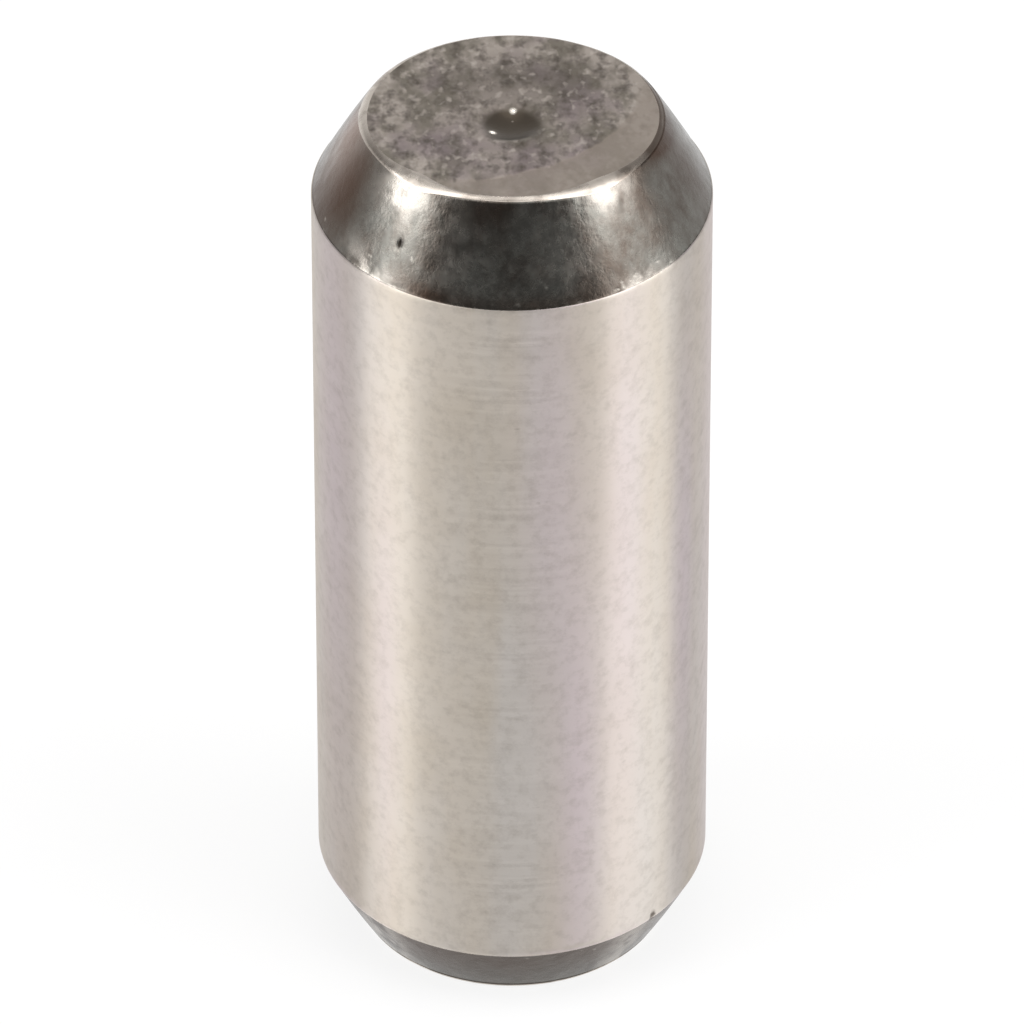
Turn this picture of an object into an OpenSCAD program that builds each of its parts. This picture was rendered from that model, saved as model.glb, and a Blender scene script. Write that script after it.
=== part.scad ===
// Solid dowel pin with a long lead chamfer on each end, standing on its lower end face. The
// upper face is a little out of square, so the chamfer under it is shorter at the front.
// Lengths are in millimetres and angles in degrees. The origin is the centre of the lower
// face, +Z runs along the axis to the upper face, and -Y is the front.

/* [Pin] */
// Diameter of the ground cylinder
pin_d = 8; // [6:0.5:16]
// Length from the lower face to the high side of the upper face
pin_l = 20; // [14:0.5:80]

/* [Upper end] */
// Length of the upper chamfer, measured along the axis
upper_chamfer_l = 1.8; // [0.8:0.1:2.4]
// Slope of the upper chamfer, measured from the axis
upper_chamfer_angle = 29; // [15:1:32]
// Radius that tumbling leaves on the rim of the upper face
upper_rim_r = 0.14; // [0.1:0.02:0.3]
// Angle by which the upper face is out of square, with its high side at the front
face_tilt = 3.5; // [0:0.5:6]

/* [Lower end] */
// Length of the lower chamfer along the axis
lower_chamfer_l = 1.55; // [0.8:0.05:2.8]
// Slope of the lower chamfer, measured from the axis
lower_chamfer_angle = 28; // [15:1:32]
// Radius that tumbling leaves on the rim of the lower face
lower_rim_r = 0.2; // [0.1:0.05:0.3]

/* [Centre dimple] */
// Diameter of the dimple's mouth in the upper face
dimple_d = 1.3; // [0.6:0.1:1.6]
// Depth of the dimple at its middle
dimple_depth = 0.16; // [0.08:0.02:0.3]
// Distance of the dimple's middle in front of the axis
dimple_shift = 0.2; // [0:0.05:0.3]

/* [Crescent] */
// Width of the crescent between the upper face's rim and its inner edge, at its widest
crescent_w = 1.1; // [0.6:0.1:1.2]
// Amount by which the inner edge's radius is larger than the rim's
crescent_ease = 1; // [0.6:0.1:2.4]
// Depth of the crescent below the rest of the upper face
crescent_depth = 0.03; // [0.02:0.01:0.05]
// Direction of the widest part, anticlockwise from +X
crescent_dir = -50; // [-180:5:180]

/* [Hidden] */
steel = "#B7AFA6";
turn_fn = 128;
rim_fn = 64;
// Room that a cutting solid has past the surface that it cuts
cut_over = 1;
// Hair by which a rim's circle laps the surfaces beside it, so that it meets each in one edge
rim_lap = 0.00005;

pin_r = pin_d / 2;
upper_end_r = pin_r - upper_chamfer_l * tan(upper_chamfer_angle);
lower_face_r = pin_r - lower_chamfer_l * tan(lower_chamfer_angle);

// The out of square face cuts the chamfer in an ellipse. These are its two reaches from the
// axis, along the face.
face_back = upper_end_r / (cos(face_tilt) - sin(face_tilt) * tan(upper_chamfer_angle));
face_front = upper_end_r / (cos(face_tilt) + sin(face_tilt) * tan(upper_chamfer_angle));
// Radius and shift of the circle that the rim's round is turned about. It meets the chamfer
// rightly at the front and at the back, and laps it by a hair all the way round.
rim_back = face_back - rim_reach(upper_rim_r, upper_chamfer_angle + face_tilt);
rim_front = face_front - rim_reach(upper_rim_r, upper_chamfer_angle - face_tilt);
rim_ease = upper_rim_r * (1 - cos(face_tilt + 3));
rim_turn_r = (rim_back + rim_front) / 2 + rim_ease;
rim_shift = (rim_back - rim_front) / 2;

// The front of the rim stands higher than the face's middle, which is on the axis at mid_z
rim_rise = (rim_turn_r - rim_shift) * sin(face_tilt) + upper_rim_r * (1 - cos(face_tilt));
mid_z = pin_l - rim_rise;
shoulder_z = mid_z - upper_chamfer_l;

// The dimple is part of a ball that meets the face in a circle of the mouth's diameter
dimple_ball_r = (pow(dimple_d / 2, 2) + pow(dimple_depth, 2)) / (2 * dimple_depth);
crescent_edge_r = upper_end_r + crescent_ease;
crescent_shift = crescent_ease + crescent_w;

// Distance from a sharp rim to where its round touches the face and the chamfer. The face
// and the chamfer turn through 90 degrees less the slope.
function rim_reach(rim_r, slope) = rim_r * tan((90 - slope) / 2);

// What is cut away outside the round of a rim. The round's centre is at [centre_x, -rim_r]
// with the face at 0, and the sides of the cut run from that centre through its ends.
module rim_cut(centre_x, slope, rim_r) {
    difference() {
        polygon([
            [centre_x, -rim_r],
            [centre_x + (rim_r + cut_over) * cos(slope), (rim_r + cut_over) * sin(slope) - rim_r],
            [centre_x + 2 * cut_over, 2 * cut_over],
            [centre_x, cut_over],
        ]);
        translate([centre_x, -rim_r]) circle(r = rim_r + rim_lap, $fn = rim_fn);
    }
}

// Half of the turned outline. The upper chamfer runs on past the face that is cut later.
module pin_outline() {
    over_r = upper_end_r - cut_over * tan(upper_chamfer_angle);
    difference() {
        polygon([
            [0, 0],
            [lower_face_r, 0],
            [pin_r, lower_chamfer_l],
            [pin_r, shoulder_z],
            [over_r, mid_z + cut_over],
            [0, mid_z + cut_over],
        ]);
        mirror([0, 1])
            rim_cut(
                lower_face_r - rim_reach(lower_rim_r, lower_chamfer_angle),
                lower_chamfer_angle,
                lower_rim_r
            );
    }
}

// Moves its children from the flat z = 0 to the upper face
module on_upper_face() {
    translate([0, 0, mid_z]) rotate([-face_tilt, 0, 0]) children();
}

// All that stands above the upper face, and what its rim's round leaves off
module face_cut() {
    cylinder(r = pin_d, h = 4 * cut_over, $fn = turn_fn);
    translate([0, rim_shift, 0])
        rotate_extrude($fn = turn_fn) rim_cut(rim_turn_r, upper_chamfer_angle, upper_rim_r);
}

// Ball that sinks the dimple into the upper face
module dimple_cut() {
    translate([0, -dimple_shift, dimple_ball_r - dimple_depth])
        sphere(r = dimple_ball_r, $fn = turn_fn);
}

// Everything above the crescent's floor that lies outside its inner edge
module crescent_cut() {
    translate([0, rim_shift, -crescent_depth])
        difference() {
            cylinder(r = pin_r + cut_over, h = cut_over, $fn = turn_fn);
            rotate([0, 0, crescent_dir])
                translate([-crescent_shift, 0, -cut_over])
                    cylinder(r = crescent_edge_r, h = 3 * cut_over, $fn = turn_fn);
        }
}

module dowel_pin() {
    color(steel)
        difference() {
            rotate_extrude($fn = turn_fn) pin_outline();
            on_upper_face() face_cut();
            on_upper_face() dimple_cut();
            on_upper_face() crescent_cut();
        }
}

dowel_pin();
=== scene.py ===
"""Dowel pin of hardened steel, 8 mm in diameter and 20 mm long, on a pale floor.

The pin is one turned surface whose relief is real geometry: the mottled upper face with its
dimple and crescent, the tumbled rims, the hardened chamfers with their dents and nicked
shoulders, and the ground cylinder. The finishes are procedural and scaled in millimetres.
"""

import logging
import math
from dataclasses import dataclass, field
from enum import Enum

import bpy
import numpy as np
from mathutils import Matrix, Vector


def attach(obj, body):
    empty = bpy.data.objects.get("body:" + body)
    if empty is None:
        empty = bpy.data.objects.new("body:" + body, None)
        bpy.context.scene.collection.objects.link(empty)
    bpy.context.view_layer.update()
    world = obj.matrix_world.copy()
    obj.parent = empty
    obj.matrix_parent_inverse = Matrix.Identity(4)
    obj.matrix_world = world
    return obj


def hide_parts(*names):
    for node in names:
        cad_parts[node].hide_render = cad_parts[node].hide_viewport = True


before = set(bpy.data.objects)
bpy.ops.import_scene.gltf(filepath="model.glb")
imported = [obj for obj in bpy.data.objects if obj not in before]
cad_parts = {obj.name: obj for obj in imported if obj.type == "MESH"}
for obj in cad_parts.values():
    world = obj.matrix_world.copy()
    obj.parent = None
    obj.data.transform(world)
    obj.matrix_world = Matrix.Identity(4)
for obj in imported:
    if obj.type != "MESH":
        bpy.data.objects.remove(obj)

NODE = "dowel_pin"
MM = 0.001
log = logging.getLogger("dowel_pin")


class Zone(Enum):
    """The pin's surfaces, in the order of its material slots."""

    UPPER_FACE = 0
    UPPER_RIM = 1
    UPPER_CHAMFER = 2
    UPPER_SHOULDER = 3
    GROUND = 4
    LOWER_SHOULDER = 5
    LOWER_CHAMFER = 6
    LOWER_RIM = 7
    LOWER_FACE = 8


def linear(hex_colour: str) -> tuple[float, float, float, float]:
    """Turns an sRGB colour into the linear one that shaders take.

    Args:
        hex_colour: six hex digits, such as "8C8279".

    Returns:
        Red, green, blue and an alpha of 1.
    """
    shares = (int(hex_colour[i : i + 2], 16) / 255 for i in (0, 2, 4))
    red, green, blue = (
        s / 12.92 if s <= 0.04045 else ((s + 0.055) / 1.055) ** 2.4 for s in shares
    )
    return red, green, blue, 1.0


def add_node(
    tree: bpy.types.NodeTree,
    kind: str,
    settings: dict | None = None,
    links: dict | None = None,
) -> bpy.types.Node:
    """Adds a node with its settings and links.

    Args:
        tree: the node tree that gets it.
        kind: the node's type, such as "ShaderNodeTexNoise".
        settings: a value for each input, by its name or number, or for each property. The
            key "stops" holds a colour ramp's positions and colours.
        links: the output that feeds each input, by the input's name or number.

    Returns:
        The new node.
    """
    node = tree.nodes.new(kind)
    chosen = dict(settings or {})
    stops = chosen.pop("stops", ())
    for name in [n for n in chosen if isinstance(n, str) and n not in node.inputs]:
        setattr(node, name, chosen.pop(name))
    for name, value in chosen.items():
        node.inputs[name].default_value = value
    for name, output in (links or {}).items():
        tree.links.new(output, node.inputs[name])
    if stops:
        ramp = node.color_ramp.elements
        while len(ramp) < len(stops):
            ramp.new(1.0)
        for element, (place, colour) in zip(ramp, stops):
            element.position, element.color = place, colour
    return node


def smooth_step(low: float, high: float, values: np.ndarray) -> np.ndarray:
    """Eases from 0 at low to 1 at high, with level ends."""
    share = np.clip((values - low) / (high - low), 0.0, 1.0)
    return share * share * (3.0 - 2.0 * share)


@dataclass(frozen=True)
class Grain:
    """Seeded, smooth noise in space, the same on every run.

    Attributes:
        seed: picks the pattern.
        pitch: width of its largest lumps, in millimetres.
        octaves: how many times finer lumps of less height are added.
        gain: height of each finer octave, as a share of the one before.
    """

    seed: int
    pitch: float
    octaves: int = 3
    gain: float = 0.5
    CELLS = 48

    def at(self, points: np.ndarray) -> np.ndarray:
        """Reads the noise.

        Args:
            points: an array of x, y and z in millimetres, one row a point.

        Returns:
            A value for each point, mostly from -1 to 1.
        """
        lattice = np.random.default_rng(self.seed).uniform(-1, 1, (self.CELLS,) * 3)
        total, height, scale = np.zeros(len(points)), 1.0, 1.0 / self.pitch
        for octave in range(self.octaves):
            spot = points * scale + 7.3 * octave + 100.0
            cell = np.floor(spot).astype(int)
            part = spot - cell
            part = part * part * (3.0 - 2.0 * part)
            value = np.zeros(len(points))
            for corner in np.ndindex(2, 2, 2):
                at = (cell + corner) % self.CELLS
                share = np.where(corner, part, 1.0 - part).prod(1)
                value += lattice[at[:, 0], at[:, 1], at[:, 2]] * share
            total += height * value
            height, scale = height * self.gain, scale * 2.0
        return total


@dataclass(frozen=True)
class Ring:
    """One ring of points round the pin's plain form.

    Attributes:
        places: the points, in millimetres.
        normals: the way the surface faces at each point.
        zone: the surface between this ring and the next.
        along: how far down its surface the ring lies, from 0 to 1.
    """

    places: np.ndarray
    normals: np.ndarray
    zone: Zone
    along: float = 0.0


@dataclass(frozen=True)
class Patch:
    """A soft-edged patch on the pin's surface: of wear, scale or tint, or of painted highlight or
    shade.

    Attributes:
        turn: its middle's angle round the axis from the front, in degrees.
        along: its middle's place between the rim, at 0, and the shoulder, at 1.
        width, height: how far it spreads, in degrees and as a share of the chamfer.
        strength: its greatest value.
    """

    turn: float
    along: float
    width: float
    height: float
    strength: float = 1.0

    def at(self, turn: np.ndarray, along: np.ndarray) -> np.ndarray:
        """Reads the patch's strength at each point."""
        off = ((turn - self.turn) / self.width) ** 2 + ((along - self.along) / self.height) ** 2
        return self.strength * np.exp(-off)


RIM_WEAR = (
    Patch(-41.0, 0.0, 14.0, 1.0, 0.9),
    Patch(37.0, 0.0, 15.0, 1.0, 0.8),
    Patch(-108.0, 0.0, 32.0, 1.0, 0.5),
)
TAN_HAZE = (Patch(-92.0, 0.1, 16.0, 0.6, 1.0),)
# Bare steel on the upper chamfer. The two large patches under the rim lie where the lamps'
# highlights fall and are partly painted highlights; the streaks below them and the rubbed shoulder
# are wear
BARE_STEEL_AND_HIGHLIGHTS = (
    Patch(-45.0, 0.0, 10.0, 0.32, 1.0),
    Patch(38.0, 0.0, 11.0, 0.22, 0.7),
    Patch(-19.0, 0.5, 6.0, 0.35, 0.2),
    Patch(11.0, 0.5, 6.0, 0.3, 0.14),
    Patch(-46.0, 1.0, 9.0, 0.14, 0.7),
    Patch(-53.0, 0.85, 6.0, 0.14, 0.35),
    Patch(19.0, 0.65, 7.0, 0.3, 0.2),
    Patch(40.0, 1.0, 8.0, 0.1, 0.6),
)
# X and Y in millimetres of two spots in the dimple painted near-white: painted highlights where its
# glints fall
PAINTED_DIMPLE_GLINTS = ((0.02, 0.33), (-0.38, -0.41))
BLUSH = (
    Patch(-63.0, 0.3, 13.0, 0.6, 0.9),
    Patch(-40.0, 0.6, 5.0, 0.3, 0.5),
    Patch(11.0, 0.25, 8.0, 0.35, 0.7),
    Patch(20.0, 0.75, 7.0, 0.4, 0.9),
    Patch(34.0, 0.4, 7.0, 0.5, 0.6),
    Patch(60.0, 0.5, 6.0, 0.35, 0.9),
    Patch(80.0, 0.4, 10.0, 1.0, 0.6),
)
# Brown scale on the upper chamfer and its rim. The patches on the far left, at -70 and -86 degrees,
# and those along the rim at the back right also darken places by how light falls there: painted
# shade
BROWN_SCALE_AND_SHADE = (
    Patch(-70.0, 0.45, 12.0, 0.6, 1.0),
    Patch(-12.0, 0.1, 14.0, 0.22, 0.5),
    Patch(-86.0, 0.95, 14.0, 0.4, 0.7),
    Patch(-28.0, 0.6, 8.0, 0.35, 0.35),
    Patch(29.0, 0.75, 8.0, 0.45, 0.5),
    Patch(52.0, 0.2, 8.0, 0.6, 0.5),
    Patch(76.0, 0.0, 18.0, 0.16, 1.0),
    Patch(88.0, 0.35, 15.0, 0.8, 0.65),
    Patch(110.0, 0.0, 30.0, 0.12, 0.9),
    Patch(-26.0, 0.95, 12.0, 0.12, 0.5),
    Patch(4.0, 0.96, 26.0, 0.08, 0.5),
)


@dataclass
class DowelPin:
    """The whole pin, one turned piece of steel. All sizes are in millimetres.

    Attributes:
        pin_d, pin_l: diameter of the ground cylinder and length to the upper rim's high side.
        upper_chamfer_l, lower_chamfer_l: length of each chamfer along the axis.
        upper_chamfer_angle, lower_chamfer_angle: slope of each from the axis, in degrees.
        upper_rim_r, lower_rim_r: radius of each end face's rounded rim.
        face_tilt: angle by which the upper face is out of square, in degrees.
        dimple_d, dimple_depth, dimple_shift: the dimple, and its place before the axis.
        crescent_w, crescent_ease, crescent_depth, crescent_dir: the smooth crescent.
        grain_depth: height of the upper face's grain.
        chamfer_crown: height by which tumbling has rounded each chamfer.
        shoulder_round, lower_shoulder_round: radius that handling leaves on each edge of the
            ground cylinder.
        rim_wear: growth of the upper rim's radius where it is worn.
        columns: points round each ring.
    """

    pin_d: float = 8.0
    pin_l: float = 20.0
    upper_chamfer_l: float = 1.8
    upper_chamfer_angle: float = 29.0
    upper_rim_r: float = 0.14
    face_tilt: float = 3.5
    lower_chamfer_l: float = 1.55
    lower_chamfer_angle: float = 28.0
    lower_rim_r: float = 0.2
    dimple_d: float = 1.3
    dimple_depth: float = 0.16
    dimple_shift: float = 0.2
    crescent_w: float = 1.1
    crescent_ease: float = 1.0
    crescent_depth: float = 0.03
    crescent_dir: float = -50.0
    grain_depth: float = 0.022
    chamfer_crown: float = 0.015
    shoulder_round: float = 0.06
    lower_shoulder_round: float = 0.16
    rim_wear: float = 0.2
    columns: int = 384
    rings: list[Ring] = field(default_factory=list)
    end_r: float = field(init=False)
    middle: np.ndarray = field(init=False)
    upright: np.ndarray = field(init=False)
    rim_shift: float = field(init=False)
    shoulder_z: float = field(init=False)

    def __post_init__(self) -> None:
        """Works out the upper face: its middle on the axis, its normal and its rim's shift."""
        slope, tilt = math.radians(self.upper_chamfer_angle), math.radians(self.face_tilt)
        self.end_r = self.pin_d / 2 - self.upper_chamfer_l * math.tan(slope)
        self.upright = np.array([0.0, math.sin(tilt), math.cos(tilt)])
        self.middle = np.zeros(3)
        front, back = self.ball_centres(np.array([0.0, math.pi]), self.upper_rim_r)
        self.rim_shift = float(front[1] + back[1]) / 2
        self.middle = np.array([0.0, 0.0, self.pin_l - self.upper_rim_r - front[2]])
        self.shoulder_z = float(self.middle[2]) - self.upper_chamfer_l

    def worn_rim(self, turn: np.ndarray) -> np.ndarray:
        """Radius of the upper rim's round at each angle from the front, in radians."""
        degrees = (np.degrees(turn) + 180.0) % 360.0 - 180.0
        worn = sum(patch.at(degrees, 0 * degrees) for patch in RIM_WEAR)
        around = np.stack([np.sin(turn), -np.cos(turn), 0 * turn], -1) * self.end_r
        return self.upper_rim_r + self.rim_wear * worn * (1 + 0.12 * Grain(53, 0.6, 2).at(around))

    def ball_centres(self, turn: np.ndarray, rim_r: float | np.ndarray) -> np.ndarray:
        """Rolls a ball of the rim's radius under the upper face and inside the chamfer.

        Args:
            turn: angles round the axis from the front, in radians.
            rim_r: the ball's radius, or its radius at each angle.

        Returns:
            The ball's centre at each angle. The rim's round is the part of the ball's skin
            between the face and the chamfer.
        """
        slope, tilt = math.radians(self.upper_chamfer_angle), math.radians(self.face_tilt)
        level = self.end_r + rim_r * (math.tan(slope) / math.cos(tilt) - 1 / math.cos(slope))
        away = level / (1 + math.tan(slope) * math.tan(tilt) * np.cos(turn))
        rise = away * np.cos(turn) * math.tan(tilt) - rim_r / math.cos(tilt)
        return np.stack([away * np.sin(turn), -away * np.cos(turn), rise], -1) + self.middle

    def lay_out(self) -> None:
        """Fills rings with all of them, from the middle of the upper face to the lower's."""
        turn = np.linspace(0.0, 2 * math.pi, self.columns, endpoint=False)
        around = np.stack([np.sin(turn), -np.cos(turn), 0 * turn], -1)
        up = np.array([0.0, 0.0, 1.0])
        self.rings.clear()

        rim_r = self.worn_rim(turn)
        balls = self.ball_centres(turn, rim_r)
        rim_r = rim_r[:, None]
        slope = math.radians(self.upper_chamfer_angle)
        sideways = around * math.cos(slope) + up * math.sin(slope)
        face_ends = balls + self.upright * rim_r
        hub = face_ends.mean(0)
        for share in np.linspace(0.0, 1.0, 92)[1:-1]:
            flat = np.broadcast_to(self.upright, around.shape)
            places = hub + (face_ends - hub) * share
            self.rings.append(Ring(places, flat, Zone.UPPER_FACE, share))
        for share in np.linspace(0.0, 1.0, 15)[:-1]:
            out = self.turned(self.upright, sideways, share)
            places = balls + out * rim_r
            self.rings.append(Ring(places, out, Zone.UPPER_RIM, share))

        starts = balls + sideways * rim_r
        radius, ease = self.pin_d / 2, self.shoulder_round
        hubs = around * (radius - ease) + up * (self.shoulder_z - ease * math.tan(slope / 2))
        for share in self.denser_at_end(44, 0.3):
            places = starts + (hubs + sideways * ease - starts) * share
            self.rings.append(Ring(places, sideways, Zone.UPPER_CHAMFER, share))
        for share in np.linspace(0.0, 1.0, 6)[:-1]:
            out = self.turned(sideways, around, share)
            self.rings.append(Ring(hubs + out * ease, out, Zone.UPPER_SHOULDER, share))
        top = hubs + around * ease

        slope, ease = math.radians(self.lower_chamfer_angle), self.lower_shoulder_round
        sideways = around * math.cos(slope) - up * math.sin(slope)
        hubs = around * (radius - ease) + up * (self.lower_chamfer_l + ease * math.tan(slope / 2))
        low = hubs + around * ease
        for share in self.denser_at_both(60, 0.6):
            self.rings.append(Ring(top + (low - top) * share, around, Zone.GROUND, share))
        for share in np.linspace(0.0, 1.0, 6)[:-1]:
            out = self.turned(around, sideways, share)
            self.rings.append(Ring(hubs + out * ease, out, Zone.LOWER_SHOULDER, share))
        low = hubs + sideways * ease

        reach = self.lower_rim_r * math.tan(math.pi / 4 - slope / 2)
        ball_r = radius - self.lower_chamfer_l * math.tan(slope) - reach
        balls = around * ball_r + up * self.lower_rim_r
        ends = balls + sideways * self.lower_rim_r
        for share in 1.0 - self.denser_at_end(20, 0.3)[::-1]:
            places = low + (ends - low) * share
            self.rings.append(Ring(places, sideways, Zone.LOWER_CHAMFER, share))
        for share in np.linspace(0.0, 1.0, 9)[:-1]:
            out = self.turned(-up, sideways, 1.0 - share)
            places = balls + out * self.lower_rim_r
            self.rings.append(Ring(places, out, Zone.LOWER_RIM, share))
        for r in np.linspace(ball_r, 0.0, 9)[:-1]:
            down = np.broadcast_to(-up, around.shape)
            self.rings.append(Ring(around * r, down, Zone.LOWER_FACE))

    @staticmethod
    def turned(first: np.ndarray, second: np.ndarray, share: float) -> np.ndarray:
        """Directions a share of the way round from one to the other, by even angles."""
        angle = np.arccos(np.clip((first * second).sum(-1, keepdims=True), -1.0, 1.0))
        part = first * np.sin((1.0 - share) * angle) + second * np.sin(share * angle)
        return part / np.sin(angle)

    @staticmethod
    def denser_at_end(count: int, ease: float) -> np.ndarray:
        """Shares from 0 up to but not at 1, closer together towards 1."""
        t = np.linspace(0.0, 1.0, count + 1)[:-1]
        return (1 - ease) * t + ease * np.sin(t * math.pi / 2)

    @staticmethod
    def denser_at_both(count: int, ease: float) -> np.ndarray:
        """Shares from 0 up to but not at 1, closer together at both ends."""
        t = np.linspace(0.0, 1.0, count + 1)[:-1]
        return (1 - ease) * t + ease * (1 - np.cos(t * math.pi)) / 2

    def depth_under_face(self, places: np.ndarray) -> np.ndarray:
        """Distance of each point below the plane of the upper face."""
        return -(places - self.middle) @ self.upright

    def crescent_share(self, places: np.ndarray) -> np.ndarray:
        """How far each point lies in the crescent, from 0 to 1.

        Args:
            places: the points, in millimetres.

        Returns:
            The shares. The inner edge is ragged, and it eases out where it meets the rim.
        """
        a = math.radians(self.crescent_dir)
        shift = self.crescent_ease + self.crescent_w
        x = places[:, 0] + shift * math.cos(a)
        y = places[:, 1] - self.rim_shift + shift * math.sin(a)
        past = np.hypot(x, y) - self.end_r - self.crescent_ease
        inward = self.end_r - np.hypot(places[:, 0], places[:, 1] - self.rim_shift)
        keen = smooth_step(0.1, 0.6, inward)
        past = past + 0.06 * Grain(11, 0.4, 3, 0.6).at(places) * keen
        return smooth_step(-1.0, 1.0, past / (0.28 - 0.24 * keen))

    def dimple_drop(self, places: np.ndarray) -> np.ndarray:
        """Depth of the dimple below the face at each point, with a softly worn mouth."""
        mouth = self.dimple_d / 2
        ball = (mouth**2 + self.dimple_depth**2) / (2 * self.dimple_depth)
        away = np.hypot(places[:, 0], places[:, 1] + self.dimple_shift)
        away = away + 0.04 * Grain(23, 0.4, 2).at(places)
        drop = np.sqrt(np.maximum(ball**2 - away**2, 0.0)) - (ball - self.dimple_depth)
        return np.logaddexp(0.0, drop / 0.022) * 0.022 * (away < mouth * 1.8)

    @staticmethod
    def painted_dimple_glints(places: np.ndarray) -> np.ndarray:
        """Two spots in the dimple painted bright as highlights, from 0 to 1."""
        near = [np.hypot(places[:, 0] - x, places[:, 1] - y) for x, y in PAINTED_DIMPLE_GLINTS]
        return 1.0 - smooth_step(0.02, 0.1, np.minimum(*near))

    def relief(
        self, places: np.ndarray, zones: np.ndarray, along: np.ndarray
    ) -> dict[str, np.ndarray]:
        """Works out how far each point sinks below the plain form, and the masks.

        Args:
            places: the points of the plain form.
            zones: each point's zone number.
            along: how far down its zone each point lies.

        Returns:
            "sink" in millimetres, and the masks that the finishes read, from 0 to 1.
        """
        crescent = self.crescent_share(places)
        x, y = places[:, 0], places[:, 1]
        drop = self.dimple_drop(places)
        dimple = smooth_step(-0.01, 0.075, drop)
        coarse = Grain(3, 0.24, 3, 0.8).at(places * (1, 0.65, 1))
        grain = self.grain_depth * np.clip(0.5 + 0.42 * coarse, 0.0, 1.0)
        inward = self.end_r - self.upper_rim_r - np.hypot(x, y - self.rim_shift)
        rough = grain * (1 - 0.8 * crescent) * (1 - 0.95 * dimple)
        rough = rough * (0.1 + 0.9 * smooth_step(-0.05, 0.3, inward))
        face = rough + self.crescent_depth * crescent + drop
        near_face = 1.0 - smooth_step(0.0, self.upper_rim_r, self.depth_under_face(places))
        hollow = 0.01 * smooth_step(0.6, 1.3, Grain(31, 0.7, 3, 0.55).at(places))
        tumbled = 0.005 * (1 + Grain(37, 1.7, 2).at(places)) / 2 + hollow
        rub = 0.004 * (1 + Grain(59, 0.3, 2).at(places))
        crown = self.chamfer_crown
        lobes = 0.0008 * (1 + Grain(41, 3.1, 2).at(places * (1, 1, 0.3))) / 2
        sinks = {
            Zone.UPPER_FACE: face,
            Zone.UPPER_RIM: face * near_face + (tumbled + crown + rub) * along,
            Zone.UPPER_CHAMFER: tumbled + crown * (2 * along - 1) ** 2 + rub * np.exp(-along / 0.1),
            Zone.UPPER_SHOULDER: crown * (1 - along),
            Zone.GROUND: lobes * np.sin(along * math.pi),
            Zone.LOWER_SHOULDER: crown * along,
            Zone.LOWER_CHAMFER: tumbled + crown * (2 * along - 1) ** 2,
            Zone.LOWER_RIM: (tumbled + crown) * (1 - along),
            Zone.LOWER_FACE: 0 * along,
        }
        sink = np.zeros(len(places))
        for zone, values in sinks.items():
            sink[zones == zone.value] = values[zones == zone.value]

        turn = np.degrees(np.arctan2(places[:, 0], -places[:, 1]))
        down = self.share_down(Zone.UPPER_CHAMFER, zones, along)
        # Bare steel, partly painted highlights under the rim
        bare_and_highlight = np.clip(sum(patch.at(turn, down) for patch in BARE_STEEL_AND_HIGHLIGHTS), 0.0, 1.0)
        # Brown scale, partly painted shade on the far left and along the rim at the back right
        scale = np.clip(sum(patch.at(turn, down) for patch in BROWN_SCALE_AND_SHADE), 0.0, 1.0)
        # On the lower chamfer the scale mask is strongest by the shoulder, for the brown there, and
        # stronger at the sides than at the front: painted shade for the shadowed floor that the
        # sides reflect
        low = 1 - smooth_step(0.1, 1.1, self.share_down(Zone.LOWER_CHAMFER, zones, along))
        low = low * (0.6 + 0.4 * smooth_step(8.0, 35.0, np.abs(turn)))
        nick, pit = self.shoulder_nicks(places), self.pit(places)
        return {
            "sink": sink + 0.006 * nick + 0.03 * pit,
            "crescent": crescent,
            "dimple": dimple,
            "nick": nick,
            "pit": pit,
            "bare_and_highlight": bare_and_highlight * smooth_step(-1.0, 0.4, Grain(61, 0.34, 3, 0.7).at(places)),
            "scale": np.where(zones < Zone.LOWER_SHOULDER.value, scale, low),
            "edge": 1.0 - smooth_step(0.2, 1.3, inward),
            # Painted highlights in the dimple
            "painted_glint": self.painted_dimple_glints(places),
            "haze": sum(patch.at(turn, down) for patch in TAN_HAZE),
            "blush": np.clip(sum(patch.at(turn, along) for patch in BLUSH), 0.0, 1.0),
            # Darker towards the middle and back of the upper face
            "darker_back_patch": np.exp(-(((x - 0.3) / 2.0) ** 2) - ((y - 1.45) / 0.9) ** 2),
        }

    @staticmethod
    def share_down(zone: Zone, zones: np.ndarray, along: np.ndarray) -> np.ndarray:
        """How far down a zone each point lies: 0 above all of it, and 1 below it."""
        return np.where(zones == zone.value, along, zones > zone.value)

    def shoulder_nicks(self, places: np.ndarray) -> np.ndarray:
        """Small knocks on both chamfers, most of them by the shoulders, from 0 to 1."""
        random = np.random.default_rng(5)
        turn = np.degrees(np.arctan2(places[:, 0], -places[:, 1]))
        share = np.zeros(len(places))
        for middle, spread, edge, rise, count in (
            (-47.0, 5.0, self.shoulder_z, 0.1, 26),
            (39.0, 5.0, self.shoulder_z, 0.1, 22),
            (0.0, 100.0, self.shoulder_z, 0.2, 40),
            (0.0, 100.0, self.lower_chamfer_l, -0.1, 40),
        ):
            for _ in range(count):
                at, tall = random.normal(middle, spread), edge + rise * random.exponential()
                wide, high = random.uniform(0.3, 0.8), random.uniform(0.015, 0.035)
                off = ((turn - at) / wide) ** 2 + ((places[:, 2] - tall) / high) ** 2
                share = np.maximum(share, random.uniform(0.2, 1.0) * np.exp(-off))
        return share

    def pit(self, places: np.ndarray) -> np.ndarray:
        """The deep pit on the left of the upper chamfer, and a notch in the lower shoulder."""
        turn = np.degrees(np.arctan2(places[:, 0], -places[:, 1]))
        share = np.zeros(len(places))
        for at, height, wide, high in (
            (-38.44, self.shoulder_z + 0.77, 0.75, 0.09),
            (46.4, self.lower_chamfer_l + 0.03, 1.1, 0.12),
        ):
            off = ((turn - at) / wide) ** 2 + ((places[:, 2] - height) / high) ** 2
            share = np.maximum(share, np.exp(-off))
        return share

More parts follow.
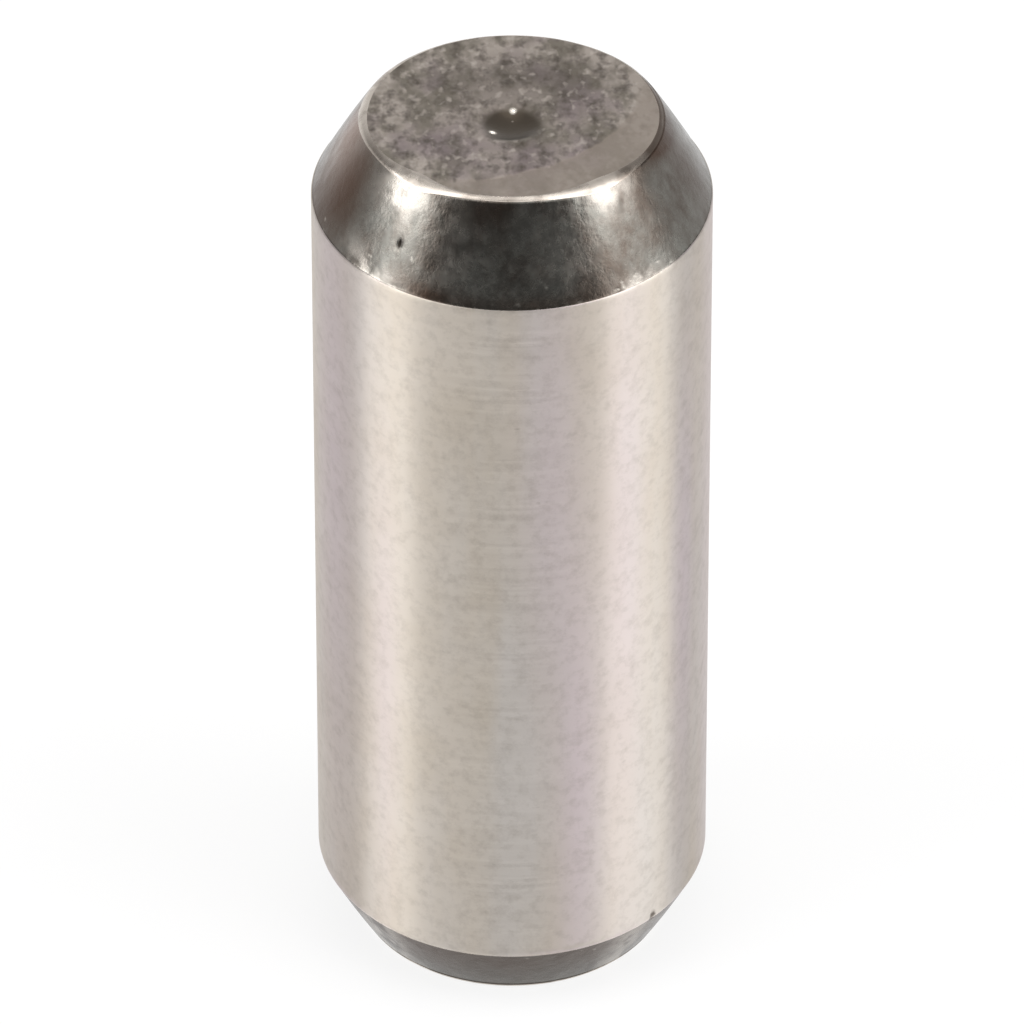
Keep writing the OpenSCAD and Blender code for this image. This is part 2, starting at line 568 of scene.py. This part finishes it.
    def build(self) -> bpy.types.Object:
        """Makes the pin's mesh and object.

        Returns:
            The object, with each face's zone as its material index and its masks as attributes.
        """
        self.lay_out()
        rings, n = len(self.rings), self.columns
        places = np.concatenate([ring.places for ring in self.rings])
        normals = np.concatenate([ring.normals for ring in self.rings])
        zones = np.repeat([ring.zone.value for ring in self.rings], n)
        along = np.repeat([ring.along for ring in self.rings], n)
        marks = self.relief(places, zones, along)
        places = places - normals * marks.pop("sink")[:, None]
        upper, lower = len(places), len(places) + 1
        places = np.vstack([places, places[:n].mean(0), [0, 0, 0]])

        this = np.arange(n)
        after = (this + 1) % n
        faces = [(upper, int(a), int(b)) for a, b in zip(this, after)]
        bands = [Zone.UPPER_FACE.value] * n
        for ring in range(rings - 1):
            top, under = ring * n, (ring + 1) * n
            faces += [
                (int(top + a), int(under + a), int(under + b), int(top + b))
                for a, b in zip(this, after)
            ]
            bands += [self.rings[ring].zone.value] * n
        last = (rings - 1) * n
        faces += [(int(last + a), lower, int(last + b)) for a, b in zip(this, after)]
        bands += [Zone.LOWER_FACE.value] * n

        mesh = bpy.data.meshes.new(NODE + "_turned")
        mesh.from_pydata((places * MM).tolist(), [], faces)
        mesh.polygons.foreach_set("material_index", bands)
        mesh.polygons.foreach_set("use_smooth", [True] * len(faces))
        for name, values in marks.items():
            layer = mesh.attributes.new(name, "FLOAT", "POINT")
            layer.data.foreach_set("value", np.append(values, [0.0, 0.0]).astype(np.float32))
        mesh.update()
        pin = bpy.data.objects.new(NODE + "_turned", mesh)
        bpy.context.scene.collection.objects.link(pin)
        return pin


@dataclass(frozen=True)
class Pattern:
    """Cloudy noise through the whole piece.

    Attributes:
        lumps: width of its largest lumps along X, Y and Z, in millimetres.
        layers: how many finer layers it has.
        gain: strength of each finer layer, as a share of the one before.
    """

    lumps: tuple[float, float, float]
    layers: float = 4.0
    gain: float = 0.6

    def per_metre(self) -> tuple[float, ...]:
        """How many lumps there are in a metre along each axis."""
        return tuple(1.0 / (width * MM) for width in self.lumps)


@dataclass(frozen=True)
class Stain:
    """A second look of a finish, which shows where a pattern or a mask of the mesh is high.

    Attributes:
        colour: its colour, as sRGB hex.
        where: the pattern, or the name of the mask.
        low, high: the values at which it begins and is full.
        cover: how much it hides at the most.
        roughness: its own roughness, if that differs.
    """

    colour: str
    where: Pattern | str
    low: float = 0.0
    high: float = 1.0
    cover: float = 1.0
    roughness: float | None = None


@dataclass(frozen=True)
class SteelFinish:
    """A steel surface as a procedural material. Each finish below gives its own values.

    Attributes:
        steel: colour of the plain surface, as sRGB hex.
        stains: what lies over it, the lowest first.
        roughness: its middle value.
        uneven: how far the roughness goes up and down.
        texture: the pattern of the roughness and of the bump.
        depth: height of the bump, in millimetres.
        anisotropy: how far gloss is drawn out across lines that run round the axis.
    """

    steel: str
    stains: tuple[Stain, ...]
    roughness: float
    uneven: float
    texture: Pattern
    depth: float
    anisotropy: float = 0.0

    def material(self) -> bpy.types.Material:
        """Makes the material: its patterns and masks, its stains in turn, and the metal.

        Returns:
            The finished material.
        """
        material = bpy.data.materials.new(type(self).__name__)
        material.use_nodes = True
        tree = material.node_tree
        tree.nodes.clear()
        place = add_node(tree, "ShaderNodeTexCoord").outputs["Object"]
        shown: dict[Pattern | str, bpy.types.NodeSocket] = {}
        for where in (self.texture, *(stain.where for stain in self.stains)):
            if isinstance(where, str):
                mask = add_node(tree, "ShaderNodeAttribute", {"attribute_name": where})
                shown[where] = mask.outputs["Fac"]
                continue
            scaling = {"operation": "MULTIPLY", 1: where.per_metre()}
            scaled = add_node(tree, "ShaderNodeVectorMath", scaling, {0: place})
            noise = {"Scale": 1.0, "Detail": where.layers, "Roughness": where.gain}
            clouds = add_node(tree, "ShaderNodeTexNoise", noise, {"Vector": scaled.outputs[0]})
            shown[where] = clouds.outputs["Fac"]

        low, high = self.roughness - self.uneven, self.roughness + self.uneven
        dull = add_node(
            tree,
            "ShaderNodeMapRange",
            {"From Min": 0.3, "From Max": 0.7, "To Min": low, "To Max": high},
            {"Value": shown[self.texture]},
        ).outputs[0]
        under: dict[int, bpy.types.NodeSocket] = {}
        for stain in self.stains:
            share = add_node(
                tree,
                "ShaderNodeMapRange",
                {"From Min": stain.low, "From Max": stain.high, "To Max": stain.cover},
                {"Value": shown[stain.where]},
            ).outputs[0]
            colours = {"data_type": "RGBA", 6: linear(self.steel), 7: linear(stain.colour)}
            stained = add_node(tree, "ShaderNodeMix", colours, {0: share} | under)
            under = {6: stained.outputs[2]}
            if stain.roughness is not None:
                rough = {"data_type": "FLOAT", 3: stain.roughness}
                dull = add_node(tree, "ShaderNodeMix", rough, {0: share, 2: dull}).outputs[0]

        bump = add_node(
            tree,
            "ShaderNodeBump",
            {"Strength": 1.0, "Distance": self.depth * MM},
            {"Height": shown[self.texture]},
        )
        around = add_node(tree, "ShaderNodeTangent", {"direction_type": "RADIAL", "axis": "Z"})
        metal = add_node(
            tree,
            "ShaderNodeBsdfPrincipled",
            {"Metallic": 1.0, "Anisotropic": self.anisotropy, "Anisotropic Rotation": 0.25},
            {
                "Base Color": under[6],
                "Roughness": dull,
                "Normal": bump.outputs["Normal"],
                "Tangent": around.outputs["Tangent"],
            },
        )
        add_node(tree, "ShaderNodeOutputMaterial", {}, {"Surface": metal.outputs[0]})
        return material


@dataclass(frozen=True)
class CentrelessGroundSteel(SteelFinish):
    """Hardened steel, ground between two wheels: bright, with a satin that runs round it.

    The grinding lines lie round the pin, so each light is drawn out along its length into a
    straight band with soft edges. Real lines are some 0.01 mm apart, so they are drawn
    coarser, at 0.09 mm. Faint stains and a few small dark specks are left in the steel.
    """

    steel: str = "CFC6BB"
    stains: tuple[Stain, ...] = (
        Stain("C9BFB2", Pattern((2.0, 2.0, 2.5)), 0.4, 0.66),
        Stain("CEC9C5", Pattern((1.2, 1.2, 12.0), 2.0, 0.5), 0.42, 0.72, 0.7),
        Stain("D1C4C7", "blush", 0.0, 1.0, 0.9),
        Stain("8F857B", Pattern((0.28, 0.28, 0.26), 4.0, 0.72), 0.46, 0.85, 0.42),
        Stain("8F857B", Pattern((0.42, 0.42, 0.22), 1.0, 0.3), 0.8, 0.9, 0.7),
        Stain("4A3F36", "pit", 0.15, 0.6, 0.8),
    )
    roughness: float = 0.38
    uneven: float = 0.03
    texture: Pattern = Pattern((3.3, 3.3, 0.09), 3.0)
    depth: float = 0.0006
    anisotropy: float = 1.0


@dataclass(frozen=True)
class TumbledHardenedSteel(SteelFinish):
    """Steel left as it was hardened and tumbled: dark and smooth, with a soft, uneven gloss.

    Scale and handling cloud it brown and grey, and part of the scale is painted shade. It is rubbed
    bare where the rim and the shoulder have knocked against others, with bright flecks there and
    one black pit; the two bare patches under the rim are partly painted highlights.
    """

    steel: str = "74736E"
    stains: tuple[Stain, ...] = (
        Stain("57504A", Pattern((0.77, 0.77, 1.25), 5.0, 0.7), 0.4, 0.68),
        # Brown scale, partly painted shade; on the lower chamfer's sides painted shade
        Stain("48382E", "scale"),
        Stain("A8897B", "haze", 0.0, 1.0, 0.5),
        Stain("CBC5BC", "nick", 0.1, 0.8, 0.4),
        # Bare steel, lighter; under the rim partly painted highlights
        Stain("CFC8BF", "bare_and_highlight", 0.0, 1.0, 0.8, 0.27),
        Stain("1E1B18", "pit", 0.15, 0.6),
    )
    roughness: float = 0.26
    uneven: float = 0.07
    texture: Pattern = Pattern((0.28, 0.28, 0.38), 4.0, 0.68)
    depth: float = 0.011


@dataclass(frozen=True)
class WornRimSteel(SteelFinish):
    """Steel rounded by tumbling and by use: smooth, and rubbed bright on its high places."""

    steel: str = "CCC3B9"
    stains: tuple[Stain, ...] = (
        Stain("8F857C", Pattern((0.62, 0.62, 0.62), 3.0), 0.48, 0.72),
        # Brown scale on the rim, partly painted shade at the back right
        Stain("4E4036", "scale", 0.0, 1.0, 0.9),
    )
    roughness: float = 0.27
    uneven: float = 0.05
    texture: Pattern = Pattern((0.3, 0.3, 0.3), 2.0)
    depth: float = 0.003


@dataclass(frozen=True)
class CroppedEndSteel(SteelFinish):
    """A cropped and tumbled end face: matt and mottled, with a rubbed crescent and a dimple.

    It is olive and plum in clouds, with darker hollows and lighter flecks. The crescent is smoother
    and lighter. The dimple is glossy and is painted dark as shade in its hollow, and two painted
    highlights stand in it where small lights glint.
    """

    steel: str = "A69C94"
    stains: tuple[Stain, ...] = (
        Stain("BAB0A7", "edge"),
        Stain("7F786D", Pattern((0.8, 1.2, 0.8), 3.0, 0.65), 0.44, 0.6, 0.9),
        Stain("8E8084", Pattern((1.3, 1.9, 1.3), 2.0), 0.5, 0.64, 0.6),
        # Darker towards the middle and back of the face
        Stain("665E57", "darker_back_patch", 0.0, 1.0, 0.5),
        Stain("5D554E", Pattern((0.24, 0.38, 0.24), 2.0, 0.6), 0.45, 0.72, 0.9),
        Stain("CDC3BA", Pattern((0.18, 0.28, 0.18), 1.5, 0.5), 0.58, 0.8, 0.7),
        Stain("A0958B", "crescent", 0.0, 1.0, 0.75),
        # Painted shade: the dimple's hollow is coloured dark; its gloss is its own
        Stain("544C43", "dimple", 0.0, 1.0, 1.0, 0.36),
        # Painted highlights: two near-white glossy spots in the dimple
        Stain("EDE6DC", "painted_glint", 0.0, 1.0, 1.0, 0.2),
    )
    roughness: float = 0.5
    uneven: float = 0.04
    texture: Pattern = Pattern((0.14, 0.14, 0.14), 2.5)
    depth: float = 0.006


@dataclass(frozen=True)
class WhitePaper:
    """Matt white paper, which keeps the pin's shadow and is white to the camera and to steel."""

    paper: str = "F8F8F8"
    glow: float = 0.8

    def material(self) -> bpy.types.Material:
        """Makes the material.

        Returns:
            The finished material.
        """
        material = bpy.data.materials.new(type(self).__name__)
        material.use_nodes = True
        tree = material.node_tree
        tree.nodes.clear()
        matt = add_node(tree, "ShaderNodeBsdfDiffuse", {"Color": linear(self.paper)})
        white = add_node(tree, "ShaderNodeEmission", {"Strength": 1.0})
        share = add_node(
            tree,
            "ShaderNodeMath",
            {"operation": "MULTIPLY", 1: self.glow},
            {0: seen_rays(tree)},
        )
        paper = add_node(
            tree,
            "ShaderNodeMixShader",
            {},
            {0: share.outputs[0], 1: matt.outputs[0], 2: white.outputs[0]},
        )
        add_node(tree, "ShaderNodeOutputMaterial", {}, {"Surface": paper.outputs[0]})
        return material


def seen_rays(tree: bpy.types.NodeTree) -> bpy.types.NodeSocket:
    """Tells the rays that show a background: the camera's, and those off gloss or through glass.

    Args:
        tree: the nodes of the world or of a material.

    Returns:
        An output that is 1 for such a ray and 0 for any other.
    """
    path = add_node(tree, "ShaderNodeLightPath").outputs
    first = add_node(
        tree,
        "ShaderNodeMath",
        {"operation": "MAXIMUM"},
        {0: path["Is Camera Ray"], 1: path["Is Glossy Ray"]},
    )
    both = add_node(
        tree,
        "ShaderNodeMath",
        {"operation": "MAXIMUM"},
        {0: first.outputs[0], 1: path["Is Transmission Ray"]},
    )
    return both.outputs[0]


@dataclass(frozen=True)
class Softbox:
    """A flat, soft lamp that faces the pin.

    Attributes:
        name: what it lights.
        azimuth: its direction, in degrees from the front towards the right.
        elevation: its direction above the floor, in degrees.
        distance: metres from the pin's middle.
        width, height: its size in metres.
        level: how bright it looks, where 1 is white.
        tint: its colour.
    """

    name: str
    azimuth: float
    elevation: float
    distance: float
    width: float
    height: float
    level: float
    tint: str = "FFFFFF"

    def place(self) -> bpy.types.Object:
        """Adds the lamp to the scene.

        Returns:
            The lamp's object.
        """
        lamp = bpy.data.lights.new(self.name, "AREA")
        lamp.shape, lamp.size, lamp.size_y = "RECTANGLE", self.width, self.height
        lamp.color = linear(self.tint)[:3]
        lamp.energy = self.level * math.pi * self.width * self.height
        holder = bpy.data.objects.new(self.name, lamp)
        a, e = math.radians(self.azimuth), math.radians(self.elevation)
        away = Vector((math.sin(a) * math.cos(e), -math.cos(a) * math.cos(e), math.sin(e)))
        holder.location = away * self.distance + Vector((0, 0, 0.01))
        holder.rotation_euler = away.to_track_quat("Z", "Y").to_euler()
        holder.visible_camera = False
        bpy.context.scene.collection.objects.link(holder)
        return holder


@dataclass
class Studio:
    """The plain pale studio round the pin.

    Attributes:
        floor_side: width of the floor, in metres.
        camera_distance: metres from the camera to the point it looks at.
        camera_elevation: height of the camera above the horizon, in degrees.
        aim_height: height of the point it looks at, in metres.
        lens: focal length in millimetres, on a sensor 36 mm wide.
        ambient: grey level of the light that comes from all round.
        boxes: the soft lamps.
    """

    floor_side: float = 1.2
    camera_distance: float = 0.26082
    camera_elevation: float = 37.907
    aim_height: float = 0.009926
    lens: float = 452.11
    ambient: float = 0.5
    horizon: float = 1.0
    gap: float = 0.16
    ceiling: float = 0.6
    back: float = 0.9
    boxes: tuple[Softbox, ...] = (
        Softbox("left_box", -68.5, 38.0, 0.32, 0.185, 0.41, 2.3),
        Softbox("left_spot", -75.0, 22.0, 0.3, 0.17, 0.07, 2.9),
        Softbox("right_box", 73.0, 38.0, 0.32, 0.275, 0.41, 2.2),
        Softbox("right_spot", 72.0, 22.0, 0.3, 0.2, 0.07, 2.0),
        Softbox("top_box", 0.0, 90.0, 0.5, 0.4, 0.4, 0.8),
        Softbox("high_glint", 180.0, 63.0, 0.4, 0.02, 0.02, 14.0),
        Softbox("low_glint", 166.7, 8.5, 0.4, 0.02, 0.02, 8.0),
    )

    def lay_floor(self) -> bpy.types.Object:
        """Lays the floor that the pin stands on.

        Returns:
            The floor, which isn't part of the object.
        """
        half = self.floor_side / 2
        mesh = bpy.data.meshes.new("floor")
        corners = [(-half, -half, 0), (half, -half, 0), (half, half, 0), (-half, half, 0)]
        mesh.from_pydata(corners, [], [(0, 1, 2, 3)])
        mesh.materials.append(WhitePaper().material())
        floor = bpy.data.objects.new("floor", mesh)
        bpy.context.scene.collection.objects.link(floor)
        return floor

    def set_world(self) -> None:
        """Surrounds the pin with a white horizon, a dim gap above it and a soft ceiling."""
        world = bpy.data.worlds.new("studio")
        world.use_nodes = True
        bpy.context.scene.world = world
        tree = world.node_tree
        tree.nodes.clear()
        way = add_node(tree, "ShaderNodeTexCoord").outputs["Generated"]
        parts = add_node(tree, "ShaderNodeSeparateXYZ", {}, {0: way})
        rise = add_node(
            tree,
            "ShaderNodeMapRange",
            {"From Min": -1.0, "From Max": 1.0},
            {"Value": parts.outputs["Z"]},
        )
        stops = [
            (place / 2 + 0.5, (level, level, level, 1.0))
            for place, level in (
                (0.10, self.horizon),
                (0.20, self.gap),
                (0.62, self.gap),
                (0.85, self.ceiling),
            )
        ]
        sky = add_node(tree, "ShaderNodeValToRGB", {"stops": stops}, {"Fac": rise.outputs[0]})
        behind = add_node(
            tree,
            "ShaderNodeMapRange",
            {"From Min": 0.0, "From Max": 1.0, "To Max": self.back},
            {"Value": parts.outputs["Y"]},
        )
        fuller = add_node(
            tree,
            "ShaderNodeMix",
            {"data_type": "RGBA", "blend_type": "LIGHTEN", 0: 1.0},
            {6: sky.outputs["Color"], 7: behind.outputs[0]},
        )
        grey = (self.ambient, self.ambient, self.ambient, 1.0)
        shown = add_node(
            tree,
            "ShaderNodeMix",
            {"data_type": "RGBA", 6: grey},
            {0: seen_rays(tree), 7: fuller.outputs[2]},
        )
        light = add_node(
            tree, "ShaderNodeBackground", {"Strength": 1.0}, {"Color": shown.outputs[2]}
        )
        add_node(tree, "ShaderNodeOutputWorld", {}, {"Surface": light.outputs[0]})

    def set_camera(self) -> bpy.types.Object:
        """Places the camera in front of the pin, looking down at it.

        Returns:
            The camera's object.
        """
        lens = bpy.data.cameras.new("camera")
        lens.sensor_width, lens.lens = 36.0, self.lens
        camera = bpy.data.objects.new("camera", lens)
        e = math.radians(self.camera_elevation)
        away = Vector((0.0, -math.cos(e), math.sin(e)))
        camera.location = away * self.camera_distance + Vector((0, 0, self.aim_height))
        camera.rotation_euler = away.to_track_quat("Z", "Y").to_euler()
        bpy.context.scene.collection.objects.link(camera)
        bpy.context.scene.camera = camera
        return camera

    def build(self) -> None:
        """Sets up the floor, the world, the lamps and the camera."""
        self.set_camera()
        self.lay_floor()
        self.set_world()
        for box in self.boxes:
            box.place()
        bpy.context.scene.view_settings.view_transform = "Standard"
        log.info("studio: floor, world, camera and %d soft lamps", len(self.boxes))


def dress(pin: bpy.types.Object) -> None:
    """Gives each zone of the pin its finish.

    Args:
        pin: the turned pin.
    """
    rim, ground = WornRimSteel().material(), CentrelessGroundSteel().material()
    # A darker copy of the chamfer's steel for the lower chamfer and lower face: painted shade for
    # the shadowed floor they reflect
    lower = TumbledHardenedSteel(steel="55524D").material()
    finishes = {
        Zone.UPPER_FACE: CroppedEndSteel().material(),
        Zone.UPPER_RIM: rim,
        Zone.UPPER_CHAMFER: TumbledHardenedSteel().material(),
        Zone.UPPER_SHOULDER: ground,
        Zone.GROUND: ground,
        Zone.LOWER_SHOULDER: ground,
        Zone.LOWER_CHAMFER: lower,
        Zone.LOWER_RIM: rim,
        Zone.LOWER_FACE: lower,
    }
    for zone in Zone:
        pin.data.materials.append(finishes[zone])


def main() -> None:
    """Builds the studio and the pin, dresses the pin, hides the CAD part and attaches the pin to
    the root.
    """
    logging.basicConfig(level=logging.INFO, format="%(name)s: %(message)s")
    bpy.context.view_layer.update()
    Studio().build()
    pin = DowelPin().build()
    dress(pin)
    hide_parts(NODE)
    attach(pin, "root")
    log.info("%s: %d faces", pin.name, len(pin.data.polygons))


if __name__ == "__main__":
    main()
